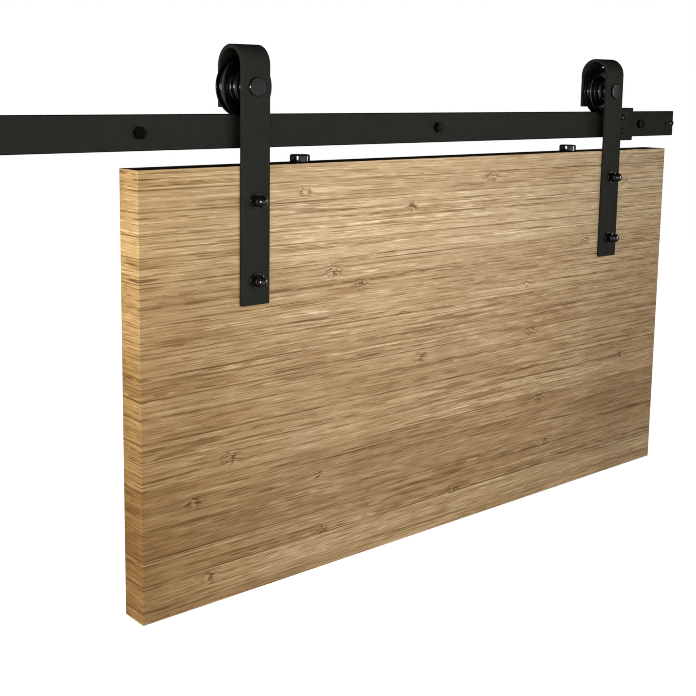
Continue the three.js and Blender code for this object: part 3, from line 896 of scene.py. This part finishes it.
def build_strap(side):
    node = f"hanger_strap_{side}"
    low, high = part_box(node)
    axle = middle(f"axle_bolt_{side}")
    thick = STRAP_THICKNESS * MM
    radius = (high.y - low.y) / 2
    bore = radius - thick
    bend_y = (low.y + high.y) / 2
    bend_z = high.z - radius
    back_bottom = axle.z - BACK_LEG_BELOW_AXLE * MM
    arc = [math.pi * i / BEND_STEPS for i in range(BEND_STEPS + 1)]
    outer = [(bend_y - radius * math.cos(a), bend_z + radius * math.sin(a)) for a in arc]
    inner = [(bend_y + bore * math.cos(a), bend_z + bore * math.sin(a)) for a in arc]
    back_leg = [(high.y, back_bottom), (high.y - thick, back_bottom)]
    outline = [(low.y, low.z), *outer, *back_leg, *inner, (low.y + thick, low.z)]

    holes = [drill(AXLE_HOLE, (axle.x, bend_y, axle.z), THROUGH_STRAP)]
    for level in LEVELS:
        bolt = middle(f"bolt_washer_{side}_{level}")
        holes.append(drill(STRAP_BOLT_HOLE, (bolt.x, low.y + thick / 2, bolt.z), THROUGH_LEG))
    bar = carved(softened(extruded(outline, low.x, high.x), STRAP_ROUNDING, 4), *holes)
    # Painted shade on the rounded edges that lean to the right.
    finished(shaded_edges(bar, TO_RIGHT), node, "door", "satin_black_steel", SATIN_BLACK, SATIN_EDGE_SHADE)


def build_axle(side):
    node = f"axle_bolt_{side}"
    front, head, length = round_box(node)
    profile = [
        (0, 0),
        (head - 0.9, 0, 0.5),
        (head, 0.9, 0.5),
        (head, AXLE_HEAD_HEIGHT, 0.2),
        (AXLE_RADIUS, AXLE_HEAD_HEIGHT),
    ]
    y = length - AXLE_THREAD_LENGTH
    profile.append((AXLE_RADIUS, y))
    while y < length - 2:
        profile += [(AXLE_THREAD_ROOT, y + 0.55), (AXLE_RADIUS, y + 1.1)]
        y += AXLE_THREAD_PITCH
    profile += [(AXLE_RADIUS, length - 0.9), (5.1, length, 0.2), (0, length)]
    bolt = moved(turned(profile, 96), front)
    finished(bolt, node, "door", "gloss_black_steel", GLOSS_BLACK)


def build_axle_nut(side):
    node = f"axle_nut_{side}"
    low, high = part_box(node)
    front, _, height = round_box(node)
    flats = (high.z - low.z) / MM
    face = flats / 2 * 0.95
    countersink = AXLE_BORE + 0.7
    nut = hexagonal(
        flats,
        [
            (countersink, 0),
            (face, 0),
            ("slope", face, 0, 0.45),
            ("slope", face, height, -0.45),
            (face, height),
            (countersink, height),
            (AXLE_BORE, height - 0.8),
            (AXLE_BORE, 0.8),
            (countersink, 0),
        ],
    )
    bmesh.ops.remove_doubles(nut, verts=nut.verts, dist=WELD)
    bmesh.ops.recalc_face_normals(nut, faces=nut.faces)
    finished(moved(nut, front), node, "door", "satin_black_steel", SATIN_BLACK)


def build_spacers(side):
    wheel = middle(f"wheel_{side}")
    for end in ("front", "rear"):
        node = f"{end}_spacer_{side}"
        low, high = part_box(node)
        _, radius, length = round_box(node)
        reach = (wheel.y - low.y if end == "front" else high.y - wheel.y) / MM
        seat = reach - length
        profile = [
            (AXLE_BORE, -reach, 0.3),
            (radius, -reach, 0.9),
            (radius, -reach + SPACER_FLANGE, 0.9),
            (SPACER_NECK_RADIUS, -reach + SPACER_FLANGE, 0.8),
            (SPACER_NECK_RADIUS, -seat - 2.0, 0.5),
            (SPACER_SEAT_RADIUS, -seat, 0.3),
            (AXLE_BORE, -seat),
            (AXLE_BORE, -reach, 0.3),
        ]
        spacer = turned(profile, 96)
        if end == "rear":
            spacer = swung(spacer, math.pi, "Z")
        finished(moved(spacer, wheel), node, "door", "gloss_black_steel", GLOSS_BLACK)


def cap_nut(length):
    """A domed nut whose open end is at y = 0; it points towards -Y."""
    face = CAP_NUT_FLATS / 2 * 0.96
    dome = CAP_NUT_FLATS / 2 - 0.35
    shoulder = -CAP_NUT_HEX_HEIGHT
    straight = shoulder - CAP_NUT_DOME_STRAIGHT
    tip = -length
    stations = [(0, tip)]
    for degrees in range(8, 91, 6):
        a = math.radians(degrees)
        stations.append((dome * math.sin(a), straight - (straight - tip) * math.cos(a)))
    stations += [(dome, straight), (dome, shoulder - 0.15), (face, shoulder)]
    stations += [("slope", face, shoulder, 0.5), (None, -0.5), (face, 0), (CAP_NUT_THREAD + 0.6, 0)]
    stations += [(CAP_NUT_THREAD, -0.6), (CAP_NUT_THREAD, shoulder - 1.5), (0, shoulder - 2.5)]
    return hexagonal(CAP_NUT_FLATS, stations)


def door_bolt(head, length):
    """A bolt with a flat domed head and a hexagon socket. Its end is at y = 0; the head faces +Y."""
    seat = length - BOLT_HEAD_HEIGHT
    bolt = turned(
        [
            (0, 0),
            (BOLT_RADIUS - 0.8, 0, 0.2),
            (BOLT_RADIUS, 0.8, 0.2),
            (BOLT_RADIUS, seat),
            (head, seat, 0.3),
            (head, seat + 0.7, 0.4),
            (head * 0.8, seat + 2.85, 3.0),
            (head * 0.45, length, 6.0),
            (0, length),
        ],
        96,
    )
    bottom = length - BOLT_SOCKET_DEPTH
    socket = [(0, bottom), (None, bottom), (None, length + 1), (0, length + 1)]
    return carved(bolt, hexagonal(BOLT_SOCKET_FLATS, socket, 48))


def build_door_bolts(side):
    for level in LEVELS:
        node = f"bolt_washer_{side}_{level}"
        front, radius, thick = round_box(node)
        ring = [
            (WASHER_BORE, 0),
            (radius, 0, 0.5),
            (radius, thick, 0.25),
            (WASHER_BORE, thick),
            (WASHER_BORE, 0),
        ]
        finished(moved(turned(ring), front), node, "door", "gloss_black_steel", GLOSS_BLACK)

        node = f"cap_nut_{side}_{level}"
        front, _, length = round_box(node)
        open_end = front + Vector((0, length * MM, 0))
        finished(moved(cap_nut(length), open_end), node, "door", "gloss_black_steel", GLOSS_BLACK)

        node = f"door_bolt_{side}_{level}"
        front, head, length = round_box(node)
        finished(moved(door_bolt(head, length), front), node, "door", "zinc_steel", ZINC)


# ---------------------------------------------------------------- wheels
TREAD_RADIUS = 31
RIM_HALF_WIDTH = 6
WEB_HALF_WIDTH = 2.5
RECESS_INNER_RADIUS = 25.4
RECESS_OUTER_RADIUS = 29
GROOVE_MOUTH_HALF_WIDTH = 4.4
GROOVE_FLOOR_HALF_WIDTH = 3.7
HUB_RADIUS = 21
HUB_CHAMFER = (2.8, 2.4)  # inward and along the axle
HUB_BORE = 16.2

SHIELD_BORE = 8.2
SHIELD_OUTSIDE = 0.3  # from the ring's face to the shield's outside and inside
SHIELD_INSIDE = 0.8
RING_WALL = 1.7
BALL_CIRCLE_RADIUS = 11.1
BALL_RADIUS = 2.6
BALL_COUNT = 7
CAGE_HALF_WALL = 0.8
CAGE_HALF_WIDTH = 1


def mirrored(profile):
    """A profile of (radius, y, fillet) points on the side y < 0, with its mirror image after it."""
    return [*profile, *[(radius, -y, fillet) for radius, y, fillet in reversed(profile)], profile[0]]


def build_wheel(side):
    node = f"wheel_{side}"
    _, flange, width = round_box(node)
    hub = width / 2
    inward, along = HUB_CHAMFER
    profile = [
        (HUB_BORE, -hub, 0.3),
        (HUB_RADIUS - inward, -hub, 1.6),
        (HUB_RADIUS, -hub + along, 1.6),
        (HUB_RADIUS, -WEB_HALF_WIDTH, 1.4),
        (RECESS_INNER_RADIUS, -WEB_HALF_WIDTH, 1.6),
        (RECESS_OUTER_RADIUS, -RIM_HALF_WIDTH, 1.6),
        (flange, -RIM_HALF_WIDTH, 1.9),
        (flange, -GROOVE_MOUTH_HALF_WIDTH, 0.4),
        (TREAD_RADIUS, -GROOVE_FLOOR_HALF_WIDTH, 0.7),
    ]
    wheel = moved(turned(mirrored(profile), 144), middle(node))
    finished(wheel, node, f"{side}_wheel", "wheel_black", WHEEL_BLACK)


def build_bearing(side):
    body = f"{side}_wheel"
    place = middle(f"wheel_{side}")

    node = f"bearing_outer_ring_{side}"
    _, outer, width = round_box(node)
    half = width / 2
    race = outer - RING_WALL
    profile = [
        (race, SHIELD_INSIDE - half, 0.1),
        (SHIELD_BORE, SHIELD_INSIDE - half, 0.1),
        (SHIELD_BORE, SHIELD_OUTSIDE - half, 0.1),
        (race - 0.6, SHIELD_OUTSIDE - half, 0.1),
        (race, -half, 0.1),
        (outer, -half, 0.5),
    ]
    ring = mirrored(profile)
    finished(moved(turned(ring, 96, 3), place), node, body, "bearing_steel", BEARING)

    node = f"bearing_inner_ring_{side}"
    _, outer, _ = round_box(node)
    ring = mirrored([(AXLE_BORE, -half, 0.3), (outer, -half, 0.3)])
    finished(moved(turned(ring, 96, 3), place), node, "door", "bearing_steel", BEARING)

    inner, outer = BALL_CIRCLE_RADIUS - CAGE_HALF_WALL, BALL_CIRCLE_RADIUS + CAGE_HALF_WALL
    cage = turned(mirrored([(inner, -CAGE_HALF_WIDTH, 0.2), (outer, -CAGE_HALF_WIDTH, 0.2)]), 96, 3)
    for i in range(BALL_COUNT):
        angle = 2 * math.pi * i / BALL_COUNT
        at = Vector((math.cos(angle), 0, math.sin(angle))) * BALL_CIRCLE_RADIUS * MM
        bmesh.ops.create_icosphere(
            cage, subdivisions=3, radius=BALL_RADIUS * MM, matrix=Matrix.Translation(at)
        )
    finished(moved(cage, place), f"bearing_balls_{side}", body, "bearing_steel", BEARING)


# ---------------------------------------------------------------- door panel and anti-jump discs
PANEL_ROUNDING = 0.5
PANEL_BOLT_HOLE = 4.4
THROUGH_PANEL = 60  # length of the cutters for the bolt holes
PILOT_RADIUS = 2.6
PILOT_LENGTH = 40
PILOT_CENTRE_DEPTH = 12

DISC_BORE = 2.6
DISC_CHAMFER = 1.2
DISC_COUNTERBORE = 4.8
DISC_COUNTERBORE_DEPTH = 4
DISC_SCREW_HEAD_RADIUS = 4.4
DISC_SCREW_HEAD_HEIGHT = 3
DISC_SCREW_SHANK = 2.2


def build_panel():
    low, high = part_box("door_panel")
    centre = (low + high) / 2
    holes = []
    for side in SIDES:
        for level in LEVELS:
            bolt = middle(f"door_bolt_{side}_{level}")
            holes.append(drill(PANEL_BOLT_HOLE, (bolt.x, centre.y, bolt.z), THROUGH_PANEL))
        screw = middle(f"disc_screw_{side}")
        pilot = swung(drill(PILOT_RADIUS, (0, 0, 0), PILOT_LENGTH, 32), math.pi / 2, "X")
        holes.append(moved(pilot, (screw.x, screw.y, high.z - PILOT_CENTRE_DEPTH * MM)))
    board = softened(carved(slab(low, high), *holes), PANEL_ROUNDING, 3)
    # The top face takes the second material, the painted shade.
    top = high.z - 0.01 * MM
    for face in board.faces:
        if all(v.co.z > top for v in face.verts):
            face.material_index = 1
    finished(board, "door_panel", "door", "laminated_wood", WOOD, TOP_EDGE_SHADE)


def build_discs():
    for side in SIDES:
        node = f"anti_jump_disc_{side}"
        low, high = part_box(node)
        radius = (high.x - low.x) / 2 / MM
        height = (high.z - low.z) / MM
        floor = height - DISC_COUNTERBORE_DEPTH
        profile = [
            (DISC_BORE, 0),
            (radius, 0, 0.4),
            (radius, height - DISC_CHAMFER, 0.8),
            (radius - DISC_CHAMFER, height, 0.8),
            (DISC_COUNTERBORE, height, 0.3),
            (DISC_COUNTERBORE, floor),
            (DISC_BORE, floor),
            (DISC_BORE, 0),
        ]
        place = ((low.x + high.x) / 2, (low.y + high.y) / 2, low.z)
        disc = moved(swung(turned(profile, 96), math.pi / 2, "X"), place)
        finished(disc, node, "door", "gloss_black_steel", GLOSS_BLACK)

        node = f"disc_screw_{side}"
        low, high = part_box(node)
        seat = high.z - DISC_SCREW_HEAD_HEIGHT * MM
        length = (seat - low.z) / MM
        screw = button_screw(DISC_SCREW_HEAD_RADIUS, DISC_SCREW_HEAD_HEIGHT, DISC_SCREW_SHANK, length)
        place = ((low.x + high.x) / 2, (low.y + high.y) / 2, seat)
        screw = moved(swung(screw, -math.pi / 2, "X"), place)
        finished(screw, node, "door", "zinc_steel", ZINC)


build_rail()
build_fixings()
build_small_screws()
build_stops()
for side in SIDES:
    build_strap(side)
    build_axle(side)
    build_axle_nut(side)
    build_spacers(side)
    build_door_bolts(side)
    build_wheel(side)
    build_bearing(side)
build_panel()
build_discs()


# ---------------------------------------------------------------- studio
FLOOR_REACH = 14
FLOOR_LEVEL = -2.2

# The room's walls: share of a turn from the back, by the left, the front and the right; and brightness.
WALLS = (
    (0.0, 0.05),
    (0.10, 0.15),
    (0.17, 0.35),
    (0.27, 0.40),
    (0.36, 1.20),
    (0.385, 0.30),
    (0.42, 1.30),
    (0.47, 1.00),
    (0.50, 1.40),
    (0.545, 1.40),
    (0.58, 0.75),
    (0.605, 0.75),
    (0.63, 0.50),
    (0.66, 0.38),
    (0.75, 0.20),
    (0.80, 0.05),
    (1.0, 0.05),
)


def build_floor():
    n = Nodes("studio_floor")
    tone = n.noise(n.place(), (400, 400, 400), detail=2)
    colour = n.ramp(tone, ((0.3, (0.93, 0.93, 0.93)), (0.7, (0.95, 0.95, 0.95))))
    n.shader.inputs["Emission Strength"].default_value = 1.0
    n.shader.inputs["Emission Color"].default_value = (1, 1, 1, 1)
    n.surface(Base_Color=colour, Roughness=0.9)
    data = bpy.data.meshes.new("studio_floor")
    corners = ((-1, -1), (1, -1), (1, 1), (-1, 1))
    points = [(x * FLOOR_REACH, y * FLOOR_REACH, FLOOR_LEVEL) for x, y in corners]
    data.from_pydata(points, [], [(0, 1, 2, 3)])
    data.materials.append(n.material)
    floor = bpy.data.objects.new("studio_floor", data)
    bpy.context.scene.collection.objects.link(floor)
    floor.visible_diffuse = False
    floor.visible_glossy = False


def build_world():
    """A white background, and for the light a dim room that is brightest at its front right and left."""
    world = bpy.data.worlds.new("studio")
    bpy.context.scene.world = world
    world.use_nodes = True
    tree = world.node_tree
    tree.nodes.clear()

    def add(kind, *values, **settings):
        node = tree.nodes.new(kind)
        for key, value in settings.items():
            setattr(node, key, value)
        for socket, value in zip(node.inputs, values):
            if isinstance(value, bpy.types.NodeSocket):
                tree.links.new(value, socket)
            else:
                socket.default_value = value
        return node

    direction = add("ShaderNodeSeparateXYZ", add("ShaderNodeTexCoord").outputs["Generated"])
    x, y, z = direction.outputs
    forward = add("ShaderNodeMath", y, -1.0, operation="MULTIPLY")
    angle = add("ShaderNodeMath", x, forward.outputs[0], operation="ARCTAN2")
    turn = add("ShaderNodeMapRange", angle.outputs[0], -math.pi, math.pi, 0.0, 1.0)
    walls = add("ShaderNodeValToRGB", turn.outputs[0])
    ramp = walls.color_ramp
    while len(ramp.elements) < len(WALLS):
        ramp.elements.new(1.0)
    for element, (position, level) in zip(ramp.elements, WALLS):
        element.position = position
        element.color = (level, level * 0.985, level * 0.955, 1)
    # Brightest just below the horizon, dimmer towards the ceiling and the floor.
    overhead = add("ShaderNodeMapRange", z, -0.15, 0.6, 1.25, 0.08)
    below = add("ShaderNodeMapRange", z, -0.7, -0.25, 0.2, 1.0)
    dim = add("ShaderNodeMath", overhead.outputs[0], below.outputs[0], operation="MULTIPLY")
    room = add("ShaderNodeBackground", walls.outputs[0], dim.outputs[0])
    seen = add("ShaderNodeBackground", (1, 1, 1, 1), 1.0)
    camera_ray = add("ShaderNodeLightPath").outputs["Is Camera Ray"]
    either = add("ShaderNodeMixShader", camera_ray, room.outputs[0], seen.outputs[0])
    add("ShaderNodeOutputWorld", either.outputs[0])


def softbox(name, place, target, width, height, watts, colour=(1, 1, 1), only=None):
    """A rectangular light; `only` says whether it lights the surfaces or is just mirrored in them."""
    light = bpy.data.lights.new(name, "AREA")
    light.shape = "RECTANGLE"
    light.size = width
    light.size_y = height
    light.energy = watts
    light.color = colour
    lamp = bpy.data.objects.new(name, light)
    lamp.location = place
    lamp.rotation_euler = (Vector(target) - Vector(place)).to_track_quat("-Z", "Y").to_euler()
    lamp.visible_camera = False
    lamp.visible_glossy = only != "light"
    lamp.visible_diffuse = only != "mirror"
    bpy.context.scene.collection.objects.link(lamp)


def build_camera():
    """Stands to the left of the door, a little above the rail, and looks along it and down."""
    place = (-0.6189, -1.1234, 0.0543)
    yaw, pitch, roll = (math.radians(a) for a in (40.41, -8.374, 0.836))
    forward = Vector((math.sin(yaw) * math.cos(pitch), math.cos(yaw) * math.cos(pitch), math.sin(pitch)))
    level = Vector((math.cos(yaw), -math.sin(yaw), 0))
    upright = level.cross(forward)
    right = level * math.cos(roll) + upright * math.sin(roll)
    up = upright * math.cos(roll) - level * math.sin(roll)
    data = bpy.data.cameras.new("camera")
    data.sensor_width = 36
    data.lens = 58.03
    data.shift_y = -0.14
    data.clip_start = 0.01
    data.clip_end = 100
    camera = bpy.data.objects.new("camera", data)
    turn = Matrix((right, up, -forward)).transposed().to_4x4()
    camera.matrix_world = Matrix.Translation(place) @ turn
    bpy.context.scene.collection.objects.link(camera)
    bpy.context.scene.camera = camera


build_floor()
build_world()
build_camera()
softbox("key", (0.18, -0.95, -0.05), (0.34, 0, -0.14), 0.8, 0.6, 7.1, only="light")
softbox("left_side", (-1.30, -0.10, 0.22), (0, 0, -0.2), 0.5, 0.5, 22, (1.0, 0.96, 0.9), only="light")
softbox("back_fill", (0.9, 2.6, -0.3), (0.2, 0, -0.2), 1.8, 1.4, 70, only="light")
softbox("right_side", (2.5, 0.95, 0.1), (0.7, 0, -0.25), 0.8, 0.8, 45, only="light")
softbox("left_window", (-1.61, -0.82, 0.0), (0.3, 0, 0), 0.8, 0.5, 55, only="mirror")
softbox("right_window", (1.26, -0.66, 0.05), (0.4, 0, 0.05), 0.26, 0.6, 6.5, only="mirror")
bpy.context.scene.cycles.filter_width = 1.0
bpy.context.scene.view_settings.view_transform = "Standard"
bpy.context.scene.view_settings.look = "None"
